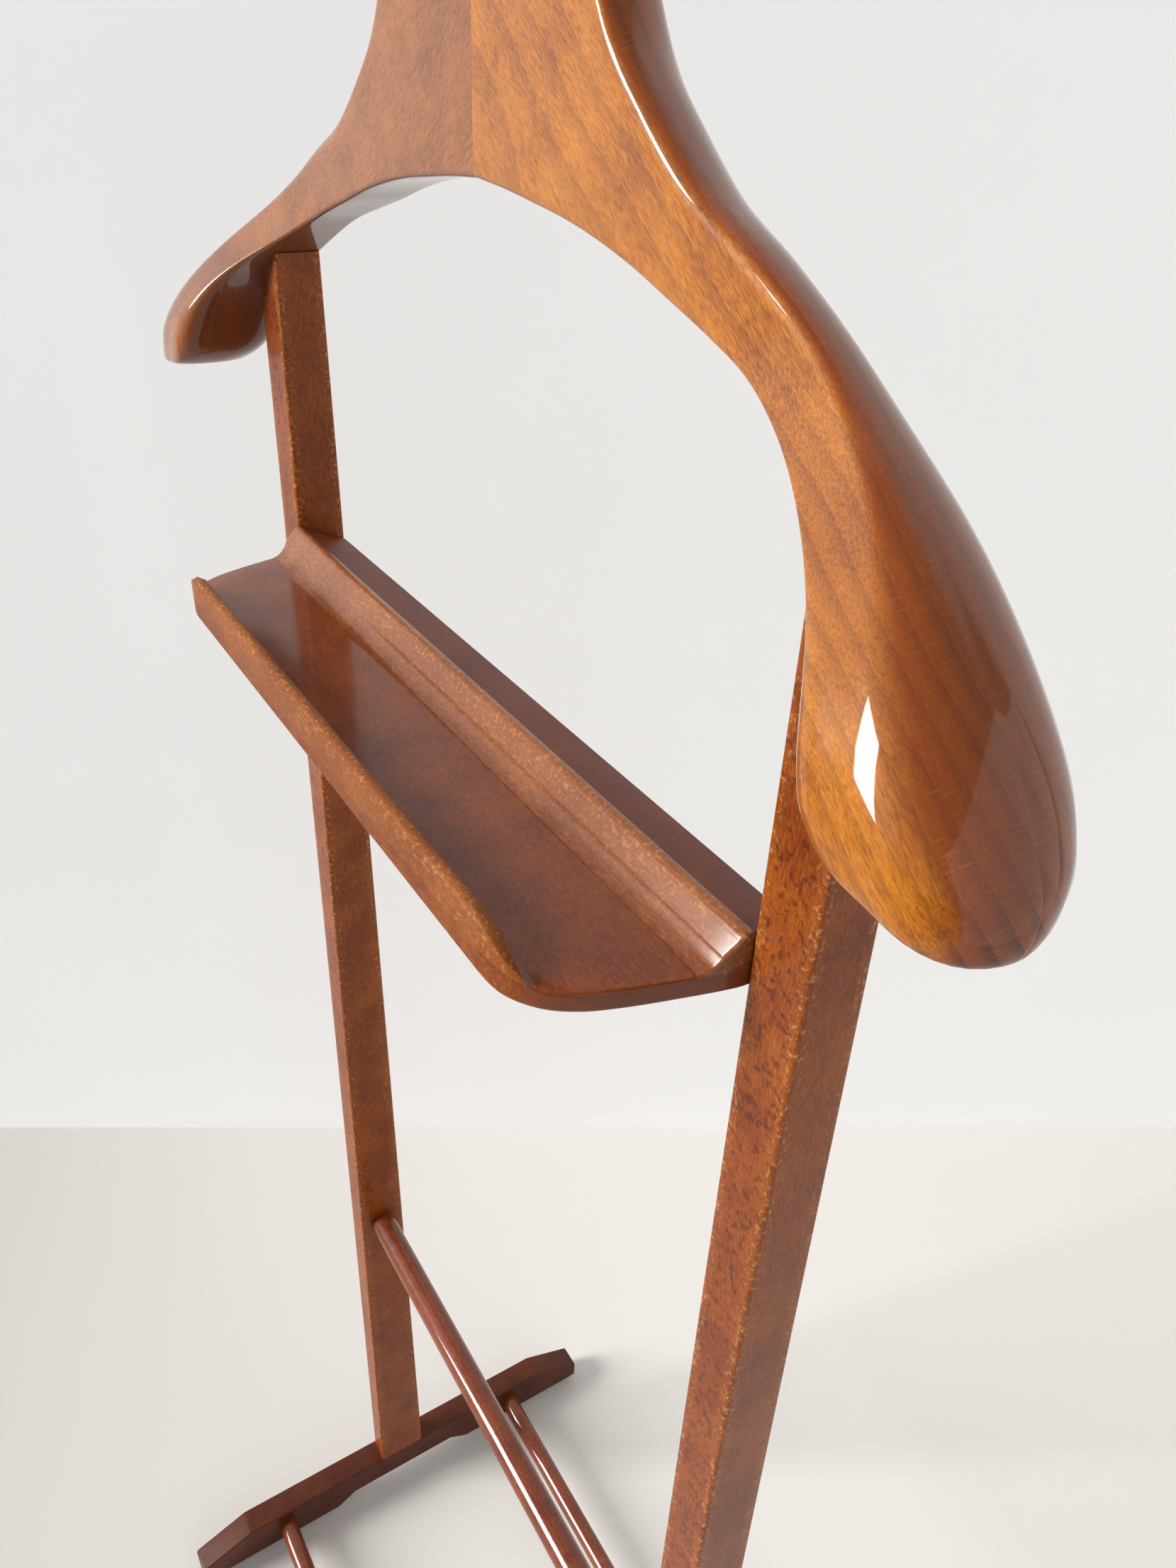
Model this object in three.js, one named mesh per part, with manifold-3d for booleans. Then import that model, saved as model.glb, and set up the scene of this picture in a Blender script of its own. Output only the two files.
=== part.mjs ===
// Valet stand in stained beech: a carved hanger in two book-matched halves on two tapered
// uprights, with a coved tray, a round trouser bar and two foot rails tied by round stretchers.
// Millimetres, +Z up. X runs across the stand, -Y is the front, the origin is on the floor
// midway between the four glides.
import * as THREE from "three";
import * as BufferGeometryUtils from "three/addons/utils/BufferGeometryUtils.js";
import Module from "manifold-3d";

const wasm = await Module();
wasm.setup();

// ---- driving dimensions ----
const GLIDE_HEIGHT = 5;
const GLIDE_RADIUS = 7;
const GLIDE_REACH = 152;
const NAIL_LENGTH = 12;
const NAIL_RADIUS = 1;
const NAIL_HEAD_RADIUS = 5;

const INNER_HALF = 170; // half the clear width between the uprights and between the rails
const RAIL_THICKNESS = 18.5;
const RAIL_HEIGHT = 32.5;
const RAIL_HALF_LENGTH = 168;
const RAIL_FLAT_HALF = 128; // where the top starts to slope down to the end
const RAIL_END_DROP = 17;
const RAIL_RELIEF = 9; // how far the middle of the underside is raised
const RAIL_RELIEF_HALF = 43;
const RAIL_PAD_START = 58;
const RAIL_EDGE = 1;

const STRETCHER_RADIUS = 6.8;
const STRETCHER_REACH = 100;
const STRETCHER_Z = 22;

const UPRIGHT_TOP = 954;
const UPRIGHT_WIDTH_BOTTOM = 17.2;
const UPRIGHT_WIDTH_TOP = 22.8;
const UPRIGHT_DEPTH_BOTTOM = 35;
const UPRIGHT_DEPTH_TOP = 20;
const UPRIGHT_ROUND = 1.5;

const BAR_Z = 330;
const BAR_RADIUS = 8.1;
const TENON_RADIUS = 5;
const TENON_LENGTH = 9;
const TENON_CHAMFER = 0.8;

const TRAY_BOTTOM = 818.5;
const TRAY_FRONT = -72;
const TRAY_BACK = 11;
const TRAY_FLOOR = 6.8;
const TRAY_LIP = 19.5;
const TRAY_CREST = 18.7;
const TRAY_CREST_Y = -11.6;
const TRAY_CREST_RADIUS = 3.4;
const TRAY_COVE_Y = -27;
const TRAY_COVE_RADIUS = 9;
const TRAY_LIP_RADIUS = 2.6;
const TRAY_ARRIS = 1.5;
const TRAY_BACK_HEIGHT = 8;

const DOWEL_RADIUS = 4;
const SMALL_DOWEL_RADIUS = 3;
const HOLE_PLAY = 0.15;
const END_PLAY = 0.5; // clearance past the end of a dowel or a tenon
const OVERRUN = 5; // how far outside the face a cutting tool starts

// ---- materials ----
function wood(colour, roughness) {
  return new THREE.MeshStandardMaterial({ color: colour, roughness: roughness, metalness: 0 });
}
const BROWN_HALF = wood(0xa06a4c, 0.28);
const GOLD_HALF = wood(0xb0702f, 0.28);
const UPRIGHT_BEECH = wood(0xa8622f, 0.34);
const TRAY_BEECH = wood(0x8a4a2c, 0.22);
const BAR_BEECH = wood(0x8f4a33, 0.22);
const RAIL_BEECH = wood(0x6f3b2a, 0.34);
const RAW_BEECH = wood(0xd9b88a, 0.7);
const GLIDE_PLASTIC = new THREE.MeshStandardMaterial({ color: 0x1d1b1a, roughness: 0.5 });
const NAIL_STEEL = new THREE.MeshStandardMaterial({ color: 0xb9bcc0, roughness: 0.35, metalness: 1 });

const stand = new THREE.Group();
stand.name = "valet_stand";

function addPiece(name, geometry, material) {
  const mesh = new THREE.Mesh(geometry, material);
  mesh.name = name;
  stand.add(mesh);
  return mesh;
}

// ---- solids ----
function toSolid(geometry) {
  const bare = geometry.clone();
  bare.deleteAttribute("normal");
  bare.deleteAttribute("uv");
  const merged = BufferGeometryUtils.mergeVertices(bare, 1e-4);
  return new wasm.Manifold(
    new wasm.Mesh({
      numProp: 3,
      vertProperties: new Float32Array(merged.attributes.position.array),
      triVerts: new Uint32Array(merged.index.array),
    }),
  );
}

function toGeometry(solid) {
  const mesh = solid.getMesh();
  const geometry = new THREE.BufferGeometry();
  geometry.setAttribute("position", new THREE.BufferAttribute(new Float32Array(mesh.vertProperties), 3));
  geometry.setIndex(new THREE.BufferAttribute(new Uint32Array(mesh.triVerts), 1));
  geometry.computeVertexNormals();
  return geometry;
}

function cut(geometry, tools) {
  let solid = toSolid(geometry);
  for (const tool of tools) {
    solid = solid.subtract(toSolid(tool));
  }
  return toGeometry(solid);
}

function rod(radius, from, to, sides = 20) {
  const start = new THREE.Vector3(...from);
  const end = new THREE.Vector3(...to);
  const along = end.clone().sub(start);
  const geometry = new THREE.CylinderGeometry(radius, radius, along.length(), sides);
  const turn = new THREE.Quaternion();
  turn.setFromUnitVectors(new THREE.Vector3(0, 1, 0), along.clone().normalize());
  geometry.applyQuaternion(turn);
  const middle = start.add(end).multiplyScalar(0.5);
  geometry.translate(middle.x, middle.y, middle.z);
  return geometry;
}

// A turned rod: radius against distance along X, closed on the axis.
function turnedAlongX(profile, sides, position) {
  const points = profile.map(([radius, distance]) => new THREE.Vector2(radius, distance));
  const geometry = new THREE.LatheGeometry(points, sides);
  geometry.rotateZ(-Math.PI / 2);
  geometry.translate(...position);
  return geometry;
}

// Rings of points joined by quads, with a fan on each end.
function skin(rings, flip) {
  const count = rings[0].length;
  const positions = [];
  for (const ring of rings) {
    for (const point of ring) {
      positions.push(point.x, point.y, point.z);
    }
  }
  const index = [];
  function face(a, b, c) {
    index.push(a, flip ? c : b, flip ? b : c);
  }
  for (let r = 0; r < rings.length - 1; r += 1) {
    for (let i = 0; i < count; i += 1) {
      const a = r * count + i;
      const b = r * count + ((i + 1) % count);
      face(a, b, b + count);
      face(a, b + count, a + count);
    }
  }
  for (const [ring, base, inward] of [
    [rings[0], 0, true],
    [rings[rings.length - 1], (rings.length - 1) * count, false],
  ]) {
    const centre = new THREE.Vector3();
    for (const point of ring) {
      centre.add(point);
    }
    centre.multiplyScalar(1 / count);
    const hub = positions.length / 3;
    positions.push(centre.x, centre.y, centre.z);
    for (let i = 0; i < count; i += 1) {
      const next = (i + 1) % count;
      if (inward) {
        face(hub, base + next, base + i);
      } else {
        face(hub, base + i, base + next);
      }
    }
  }
  const geometry = new THREE.BufferGeometry();
  geometry.setAttribute("position", new THREE.Float32BufferAttribute(positions, 3));
  geometry.setIndex(index);
  return geometry;
}

// Outline of a rounded rectangle, w by h half sizes. The radii are for the corners (w, h),
// (w, -h), (-w, -h) and (-w, h).
function roundedSection(w, h, radii, steps) {
  const corners = [
    [w, h, radii[0], 90],
    [w, -h, radii[1], 0],
    [-w, -h, radii[2], -90],
    [-w, h, radii[3], -180],
  ];
  const points = [];
  for (const [u, v, r, first] of corners) {
    const cu = u - Math.sign(u) * r;
    const cv = v - Math.sign(v) * r;
    for (let i = 0; i < steps; i += 1) {
      const angle = THREE.MathUtils.degToRad(first - (90 * i) / (steps - 1));
      points.push([cu + r * Math.cos(angle), cv + r * Math.sin(angle)]);
    }
  }
  return points;
}

// ---- hanger ----
// Stations from the centre seam out to the tip of the shoulder. Each row is the lower edge
// (x, z), the upper edge (x, z), the front face y and the back face y.
const HANGER_STATIONS = [
  [0, 998, 0, 1095, -3.7, 20.5],
  [17, 996.8, 30, 1091, -3.7, 20.5],
  [34, 995, 52, 1077, -3.7, 20.5],
  [51, 993, 62, 1053, -3.7, 20.5],
  [68, 990, 72, 1036, -3.7, 20.5],
  [85, 986, 87, 1022, -3.8, 20.5],
  [102, 981, 108, 1007, -4, 20],
  [119, 976, 132, 996, -4.4, 18],
  [137, 970, 157.5, 983, -5.5, 14.5],
  [155, 962, 178, 971.5, -10, 12.7],
  [174.5, 952.5, 203, 957.5, -20, 11.4],
  [190, 940.5, 223.5, 942.5, -31.5, 7.4],
  [197.5, 929.5, 237, 930.5, -40, 4.4],
  [202.5, 917.5, 248, 918.5, -44, 3],
  [207, 908.5, 254.5, 907.5, -44.5, -3],
  [214, 903, 254, 897.5, -43, -11],
  [225, 901.5, 240, 899.5, -32, -20],
];
const HANGER_RINGS_PER_STATION = 3;
const HANGER_CORNER_STEPS = 8;
// The arm turns into the shoulder between these two places, counted in stations.
const SHOULDER_FROM = 9.5;
const SHOULDER_FULL = 12.5;
// Corner radii in the order of roundedSection: upper back, upper front, lower front, lower back.
const ARM_RADII = [20, 6, 1.8, 1.8];
const SHOULDER_RADII = [25, 20, 11.8, 15.8];
// The largest radius allowed, as a share of the smaller half size.
const ARM_SHARES = [1.5, 0.45, 0.45, 0.45];
const SHOULDER_SHARE = 0.96;

function hangerRadii(smallerHalf, shoulder) {
  return ARM_RADII.map((armRadius, corner) => {
    const radius = THREE.MathUtils.lerp(armRadius, SHOULDER_RADII[corner], shoulder);
    const share = THREE.MathUtils.lerp(ARM_SHARES[corner], SHOULDER_SHARE, shoulder);
    return Math.min(radius, share * smallerHalf);
  });
}

function hangerHalf(side) {
  const lower = new THREE.CatmullRomCurve3(
    HANGER_STATIONS.map((row) => new THREE.Vector3(row[0], row[4], row[1])),
  );
  const upper = new THREE.CatmullRomCurve3(
    HANGER_STATIONS.map((row) => new THREE.Vector3(row[2], row[5], row[3])),
  );
  const spans = HANGER_STATIONS.length - 1;
  const ringCount = spans * HANGER_RINGS_PER_STATION;
  const rings = [];
  for (let r = 0; r <= ringCount; r += 1) {
    const t = r / ringCount;
    const a = lower.getPoint(t);
    const b = upper.getPoint(t);
    if (r === 0) {
      a.x = 0;
      b.x = 0;
    }
    const halfWidth = Math.hypot(b.x - a.x, b.z - a.z) / 2;
    const halfDepth = (b.y - a.y) / 2;
    const shoulder = THREE.MathUtils.smoothstep(t * spans, SHOULDER_FROM, SHOULDER_FULL);
    const radii = hangerRadii(Math.min(halfWidth, halfDepth), shoulder);
    const du = (b.x - a.x) / (2 * halfWidth);
    const dz = (b.z - a.z) / (2 * halfWidth);
    const section = roundedSection(halfWidth, halfDepth, radii, HANGER_CORNER_STEPS);
    const ring = [];
    for (const [u, v] of section) {
      const x = (a.x + b.x) / 2 + u * du;
      const y = (a.y + b.y) / 2 + v;
      const z = (a.z + b.z) / 2 + u * dz;
      ring.push(new THREE.Vector3(side * x, y, z));
    }
    rings.push(ring);
  }
  return skin(rings, side < 0);
}

const SEAM_DOWELS = [
  ["lower", 1016],
  ["upper", 1066],
];
const SEAM_DOWEL_Y = 6.5;
const SEAM_DOWEL_HALF = 20;
const SHOULDER_DOWEL_X = 180.5;
const SHOULDER_DOWEL_UP = 7;
const SHOULDER_DOWEL_DOWN = 16;
const POCKET_HEIGHT = 60;
const POCKET_SPARE_DEPTH = 1.2;

function uprightPocket(side) {
  const width = UPRIGHT_WIDTH_TOP + 2 * HOLE_PLAY;
  const depth = UPRIGHT_DEPTH_TOP + 2 * HOLE_PLAY + POCKET_SPARE_DEPTH;
  const pocket = new THREE.BoxGeometry(width, depth, POCKET_HEIGHT);
  pocket.translate(side * (INNER_HALF - HOLE_PLAY + width / 2), 0, UPRIGHT_TOP - POCKET_HEIGHT / 2);
  return pocket;
}

function buildHangerHalf(side) {
  const tools = [uprightPocket(side)];
  for (const [, z] of SEAM_DOWELS) {
    const reach = SEAM_DOWEL_HALF + END_PLAY;
    tools.push(rod(DOWEL_RADIUS + HOLE_PLAY, [-reach, SEAM_DOWEL_Y, z], [reach, SEAM_DOWEL_Y, z]));
  }
  const x = side * SHOULDER_DOWEL_X;
  const top = UPRIGHT_TOP + SHOULDER_DOWEL_UP + END_PLAY;
  tools.push(rod(DOWEL_RADIUS + HOLE_PLAY, [x, 0, UPRIGHT_TOP - OVERRUN], [x, 0, top]));
  return cut(hangerHalf(side), tools);
}

addPiece("hanger_left", buildHangerHalf(-1), BROWN_HALF);
addPiece("hanger_right", buildHangerHalf(1), GOLD_HALF);
for (const [level, z] of SEAM_DOWELS) {
  const dowel = rod(DOWEL_RADIUS, [-SEAM_DOWEL_HALF, SEAM_DOWEL_Y, z], [SEAM_DOWEL_HALF, SEAM_DOWEL_Y, z]);
  addPiece(`seam_dowel_${level}`, dowel, RAW_BEECH);
}

// ---- uprights ----
const RAIL_TOP = GLIDE_HEIGHT + RAIL_HEIGHT;
const FOOT_DOWEL_Y = 9;
const FOOT_DOWEL_UP = 16;
const FOOT_DOWEL_DOWN = 14;
const FOOT_DOWEL_X = INNER_HALF + UPRIGHT_WIDTH_BOTTOM / 2;
const TRAY_DOWEL_Y = [-5, 5];
const TRAY_DOWEL_Z = TRAY_BOTTOM + 6;
const TRAY_DOWEL_HALF = 12;

function uprightBlank(side) {
  const rings = [];
  for (const [z, width, depth] of [
    [RAIL_TOP, UPRIGHT_WIDTH_BOTTOM, UPRIGHT_DEPTH_BOTTOM],
    [UPRIGHT_TOP, UPRIGHT_WIDTH_TOP, UPRIGHT_DEPTH_TOP],
  ]) {
    const outline = roundedSection(width / 2, depth / 2, new Array(4).fill(UPRIGHT_ROUND), 5);
    const centre = INNER_HALF + width / 2;
    rings.push(outline.map(([u, v]) => new THREE.Vector3(side * (centre + u), v, z)));
  }
  return skin(rings, side > 0);
}

for (const [name, side] of [
  ["left", -1],
  ["right", 1],
]) {
  const face = side * INNER_HALF;
  const tools = [];
  const socket = face + side * (TENON_LENGTH + END_PLAY);
  tools.push(rod(TENON_RADIUS + HOLE_PLAY, [face - side * OVERRUN, 0, BAR_Z], [socket, 0, BAR_Z]));
  for (const y of TRAY_DOWEL_Y) {
    const end = face + side * (TRAY_DOWEL_HALF + END_PLAY);
    const start = face - side * OVERRUN;
    tools.push(rod(SMALL_DOWEL_RADIUS + HOLE_PLAY, [start, y, TRAY_DOWEL_Z], [end, y, TRAY_DOWEL_Z], 16));
  }
  const footX = side * FOOT_DOWEL_X;
  for (const y of [-FOOT_DOWEL_Y, FOOT_DOWEL_Y]) {
    const top = RAIL_TOP + FOOT_DOWEL_UP + END_PLAY;
    tools.push(rod(DOWEL_RADIUS + HOLE_PLAY, [footX, y, RAIL_TOP - OVERRUN], [footX, y, top]));
  }
  const headX = side * SHOULDER_DOWEL_X;
  const low = UPRIGHT_TOP - SHOULDER_DOWEL_DOWN - END_PLAY;
  tools.push(rod(DOWEL_RADIUS + HOLE_PLAY, [headX, 0, low], [headX, 0, UPRIGHT_TOP + OVERRUN]));
  addPiece(`upright_${name}`, cut(uprightBlank(side), tools), UPRIGHT_BEECH);

  const shoulderDowel = rod(
    DOWEL_RADIUS,
    [headX, 0, UPRIGHT_TOP - SHOULDER_DOWEL_DOWN],
    [headX, 0, UPRIGHT_TOP + SHOULDER_DOWEL_UP],
  );
  addPiece(`shoulder_dowel_${name}`, shoulderDowel, RAW_BEECH);
  for (const [place, y] of [
    ["front", -FOOT_DOWEL_Y],
    ["rear", FOOT_DOWEL_Y],
  ]) {
    const dowel = rod(
      DOWEL_RADIUS,
      [footX, y, RAIL_TOP - FOOT_DOWEL_DOWN],
      [footX, y, RAIL_TOP + FOOT_DOWEL_UP],
    );
    addPiece(`foot_dowel_${name}_${place}`, dowel, RAW_BEECH);
  }
}

// ---- tray ----
function arc(cx, cy, radius, from, to, steps) {
  const points = [];
  for (let i = 0; i <= steps; i += 1) {
    const angle = THREE.MathUtils.degToRad(from + ((to - from) * i) / steps);
    points.push(new THREE.Vector2(cx + radius * Math.cos(angle), cy + radius * Math.sin(angle)));
  }
  return points;
}

// Cross-section of the tray, front to back against height above its underside.
function trayProfile() {
  const lip = TRAY_LIP_RADIUS;
  const lipInside = TRAY_FRONT + 2 * lip + 3;
  const cove = TRAY_COVE_RADIUS;
  const crest = TRAY_CREST_RADIUS;
  const backY = TRAY_BACK - TRAY_ARRIS;
  const points = [];
  points.push(...arc(TRAY_FRONT + 2, 2, 2, 270, 180, 4));
  points.push(...arc(TRAY_FRONT + lip, TRAY_LIP - lip, lip, 180, 20, 8));
  points.push(...arc(lipInside, TRAY_FLOOR + lip, lip, 190, 270, 5));
  points.push(...arc(TRAY_COVE_Y, TRAY_FLOOR + cove, cove, 270, 340, 7));
  points.push(...arc(TRAY_CREST_Y, TRAY_CREST - crest, crest, 160, 68, 7));
  points.push(...arc(backY, TRAY_BACK_HEIGHT, TRAY_ARRIS, 68, 0, 3));
  points.push(...arc(backY, TRAY_ARRIS, TRAY_ARRIS, 0, -90, 3));
  return points;
}

// The swept front corner in plan: distance from the middle, distance behind the front.
const TRAY_CORNER = [
  [119, 0],
  [131, 0.3],
  [142, 2.6],
  [151, 8.5],
  [157, 17],
  [161, 27],
  [165.5, 42],
  [169.6, 58],
];
const TRAY_END_START = 61.5;

// Plan of the tray: straight front, swept front corners, ends closing on the uprights.
function trayPlan() {
  const corner = new THREE.SplineCurve(
    TRAY_CORNER.map(([x, back]) => new THREE.Vector2(x, TRAY_FRONT + back)),
  );
  const plan = [new THREE.Vector2(0, TRAY_FRONT), ...corner.getPoints(24)];
  plan.push(new THREE.Vector2(INNER_HALF, TRAY_FRONT + TRAY_END_START));
  plan.push(new THREE.Vector2(INNER_HALF, TRAY_BACK + OVERRUN));
  const left = plan.slice(1).map((p) => new THREE.Vector2(-p.x, p.y));
  return [...plan, ...left.reverse()];
}

function trayGeometry() {
  const body = new THREE.ExtrudeGeometry(new THREE.Shape(trayProfile()), {
    depth: 2 * (INNER_HALF + OVERRUN),
    bevelEnabled: false,
    curveSegments: 1,
  });
  body.rotateX(Math.PI / 2);
  body.rotateZ(Math.PI / 2);
  body.translate(-INNER_HALF - OVERRUN, 0, TRAY_BOTTOM);
  const plan = new THREE.ExtrudeGeometry(new THREE.Shape(trayPlan()), {
    depth: 3 * TRAY_LIP,
    bevelEnabled: false,
    curveSegments: 1,
  });
  plan.translate(0, 0, TRAY_BOTTOM - TRAY_LIP);
  let solid = toSolid(body).intersect(toSolid(plan));
  for (const side of [-1, 1]) {
    for (const y of TRAY_DOWEL_Y) {
      const start = [side * (INNER_HALF + OVERRUN), y, TRAY_DOWEL_Z];
      const end = [side * (INNER_HALF - TRAY_DOWEL_HALF - END_PLAY), y, TRAY_DOWEL_Z];
      solid = solid.subtract(toSolid(rod(SMALL_DOWEL_RADIUS + HOLE_PLAY, start, end, 16)));
    }
  }
  return toGeometry(solid);
}

addPiece("tray", trayGeometry(), TRAY_BEECH);
for (const [name, side] of [
  ["left", -1],
  ["right", 1],
]) {
  for (const [place, y] of [
    ["front", TRAY_DOWEL_Y[0]],
    ["rear", TRAY_DOWEL_Y[1]],
  ]) {
    const start = [side * (INNER_HALF - TRAY_DOWEL_HALF), y, TRAY_DOWEL_Z];
    const end = [side * (INNER_HALF + TRAY_DOWEL_HALF), y, TRAY_DOWEL_Z];
    addPiece(`tray_dowel_${name}_${place}`, rod(SMALL_DOWEL_RADIUS, start, end, 16), RAW_BEECH);
  }
}

// ---- trouser bar and stretchers ----
function tenonedRod(radius, tenonRadius, sides, position) {
  const end = INNER_HALF + TENON_LENGTH;
  const profile = [
    [0, -end],
    [tenonRadius - TENON_CHAMFER, -end],
    [tenonRadius, -end + TENON_CHAMFER],
    [tenonRadius, -INNER_HALF],
    [radius, -INNER_HALF],
    [radius, INNER_HALF],
    [tenonRadius, INNER_HALF],
    [tenonRadius, end - TENON_CHAMFER],
    [tenonRadius - TENON_CHAMFER, end],
    [0, end],
  ];
  return turnedAlongX(profile, sides, position);
}

const STRETCHER_TENON = 4.5;
addPiece("trouser_bar", tenonedRod(BAR_RADIUS, TENON_RADIUS, 32, [0, 0, BAR_Z]), BAR_BEECH);
for (const [name, y] of [
  ["front", -STRETCHER_REACH],
  ["rear", STRETCHER_REACH],
]) {
  const rung = tenonedRod(STRETCHER_RADIUS, STRETCHER_TENON, 28, [0, y, STRETCHER_Z]);
  addPiece(`stretcher_${name}`, rung, BAR_BEECH);
}

// ---- foot rails ----
function railBlank(side) {
  const bottom = GLIDE_HEIGHT;
  const top = RAIL_TOP;
  const half = [
    [RAIL_RELIEF_HALF, bottom + RAIL_RELIEF],
    [RAIL_PAD_START, bottom],
    [RAIL_HALF_LENGTH, bottom],
    [RAIL_HALF_LENGTH, top - RAIL_END_DROP],
    [RAIL_FLAT_HALF, top],
  ];
  const mirrored = half.map(([y, z]) => [-y, z]).reverse();
  const outline = new THREE.Shape(
    [...half, ...mirrored].map(([y, z]) => new THREE.Vector2(y, z)),
  );
  const geometry = new THREE.ExtrudeGeometry(outline, {
    depth: RAIL_THICKNESS - 2 * RAIL_EDGE,
    bevelEnabled: true,
    bevelThickness: RAIL_EDGE,
    bevelSize: RAIL_EDGE,
    bevelOffset: -RAIL_EDGE,
    bevelSegments: 2,
    curveSegments: 1,
  });
  geometry.rotateX(Math.PI / 2);
  geometry.rotateZ(Math.PI / 2);
  const start = side > 0 ? INNER_HALF + RAIL_EDGE : -INNER_HALF - RAIL_THICKNESS + RAIL_EDGE;
  geometry.translate(start, 0, 0);
  return geometry;
}

const RAIL_MIDDLE = INNER_HALF + RAIL_THICKNESS / 2;
for (const [name, side] of [
  ["left", -1],
  ["right", 1],
]) {
  const face = side * INNER_HALF;
  const socket = face + side * (TENON_LENGTH + END_PLAY);
  const tools = [];
  for (const y of [-STRETCHER_REACH, STRETCHER_REACH]) {
    const start = [face - side * OVERRUN, y, STRETCHER_Z];
    tools.push(rod(STRETCHER_TENON + HOLE_PLAY, start, [socket, y, STRETCHER_Z]));
  }
  const footX = side * FOOT_DOWEL_X;
  for (const y of [-FOOT_DOWEL_Y, FOOT_DOWEL_Y]) {
    const low = RAIL_TOP - FOOT_DOWEL_DOWN - END_PLAY;
    tools.push(rod(DOWEL_RADIUS + HOLE_PLAY, [footX, y, low], [footX, y, RAIL_TOP + OVERRUN]));
  }
  const middle = side * RAIL_MIDDLE;
  for (const y of [-GLIDE_REACH, GLIDE_REACH]) {
    const nailTop = GLIDE_HEIGHT + NAIL_LENGTH + END_PLAY;
    tools.push(rod(NAIL_RADIUS + HOLE_PLAY, [middle, y, 0], [middle, y, nailTop], 12));
  }
  addPiece(`foot_rail_${name}`, cut(railBlank(side), tools), RAIL_BEECH);

  for (const [place, y] of [
    ["front", -GLIDE_REACH],
    ["rear", GLIDE_REACH],
  ]) {
    const pad = new THREE.LatheGeometry(
      [
        [0, 0],
        [4.5, 0],
        [6, 0.6],
        [GLIDE_RADIUS, 2.2],
        [GLIDE_RADIUS, GLIDE_HEIGHT],
        [5.2, GLIDE_HEIGHT],
        [5.2, GLIDE_HEIGHT - 1.5],
        [0, GLIDE_HEIGHT - 1.5],
      ].map(([r, z]) => new THREE.Vector2(r, z)),
      24,
    );
    pad.rotateX(Math.PI / 2);
    pad.translate(middle, y, 0);
    addPiece(`glide_${name}_${place}`, pad, GLIDE_PLASTIC);
    const nail = new THREE.LatheGeometry(
      [
        [0, GLIDE_HEIGHT - 1.3],
        [NAIL_HEAD_RADIUS, GLIDE_HEIGHT - 1.3],
        [NAIL_HEAD_RADIUS, GLIDE_HEIGHT - 0.1],
        [NAIL_RADIUS, GLIDE_HEIGHT - 0.1],
        [NAIL_RADIUS, GLIDE_HEIGHT + NAIL_LENGTH - 2],
        [0, GLIDE_HEIGHT + NAIL_LENGTH],
      ].map(([r, z]) => new THREE.Vector2(r, z)),
      12,
    );
    nail.rotateX(Math.PI / 2);
    nail.translate(middle, y, 0);
    addPiece(`glide_nail_${name}_${place}`, nail, NAIL_STEEL);
  }
}

export default stand;
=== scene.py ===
# %% [markdown]
# # A beech valet stand
# The stand is stained beech under gloss lacquer: a coat hanger carved in two halves and glued
# on a centre seam, two tapered uprights, a small tray, a trouser bar and a sled foot. The
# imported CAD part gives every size. This script puts a finer surface over each visible piece.

import math

import bmesh
import bpy
import numpy as np
from mathutils import Euler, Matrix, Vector


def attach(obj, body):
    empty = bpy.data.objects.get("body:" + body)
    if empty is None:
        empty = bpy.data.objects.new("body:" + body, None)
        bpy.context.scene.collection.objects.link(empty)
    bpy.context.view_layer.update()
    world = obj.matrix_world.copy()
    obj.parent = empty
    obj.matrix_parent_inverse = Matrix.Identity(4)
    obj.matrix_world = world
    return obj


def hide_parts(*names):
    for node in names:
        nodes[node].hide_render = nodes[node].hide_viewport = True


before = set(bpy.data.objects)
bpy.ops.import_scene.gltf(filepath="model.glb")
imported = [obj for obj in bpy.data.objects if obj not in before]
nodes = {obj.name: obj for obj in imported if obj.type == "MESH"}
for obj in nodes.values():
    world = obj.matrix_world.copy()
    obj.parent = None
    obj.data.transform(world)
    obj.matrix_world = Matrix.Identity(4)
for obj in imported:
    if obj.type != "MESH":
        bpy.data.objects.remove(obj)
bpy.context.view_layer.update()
MM = 0.001
print("CAD nodes:", len(nodes))

# %% [markdown]
# ## Small helpers
# Colours are written as the hex values a colour picker shows, and one function turns them into
# the linear values that shaders use. One function adds a shader node with its settings and its
# links, so each material below reads as a list of what feeds what.

# %% Colour and node helpers
def linear(hex_colour):
    """Linear RGBA of an sRGB hex colour such as '8a4b2a'."""
    channels = [int(hex_colour[i : i + 2], 16) / 255 for i in (0, 2, 4)]
    curve = [c / 12.92 if c <= 0.04045 else ((c + 0.055) / 1.055) ** 2.4 for c in channels]
    return (*curve, 1.0)


def add_node(tree, kind, settings=None, links=None):
    """Adds a node. Settings are properties or socket values, links are socket: source socket."""
    node = tree.nodes.new(kind)
    for key, value in (settings or {}).items():
        if isinstance(key, str) and hasattr(node, key):
            setattr(node, key, value)
        else:
            node.inputs[key].default_value = value
    for key, source in (links or {}).items():
        tree.links.new(source, node.inputs[key])
    return node


def new_material(name):
    """An empty node material and its tree."""
    material = bpy.data.materials.new(name)
    material.use_nodes = True
    material.node_tree.nodes.clear()
    return material, material.node_tree


print("mid brown is", [round(v, 3) for v in linear("8a4b2a")])

# %% [markdown]
# ## Camera
# The camera stands close, at the front right and a little above the hanger's shoulders, and
# looks down across the stand, so the verticals lean and the foot falls away below.

# %% Place the camera
CAMERA_AT = Vector((0.3491, -0.1809, 1.0344))
CAMERA_LOOK = Vector((-0.7098, 0.4602, -0.5334))
CAMERA_ROLL = math.radians(2.40)
SENSOR_MM = 36.0
LENS_MM = 36.2387

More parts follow.
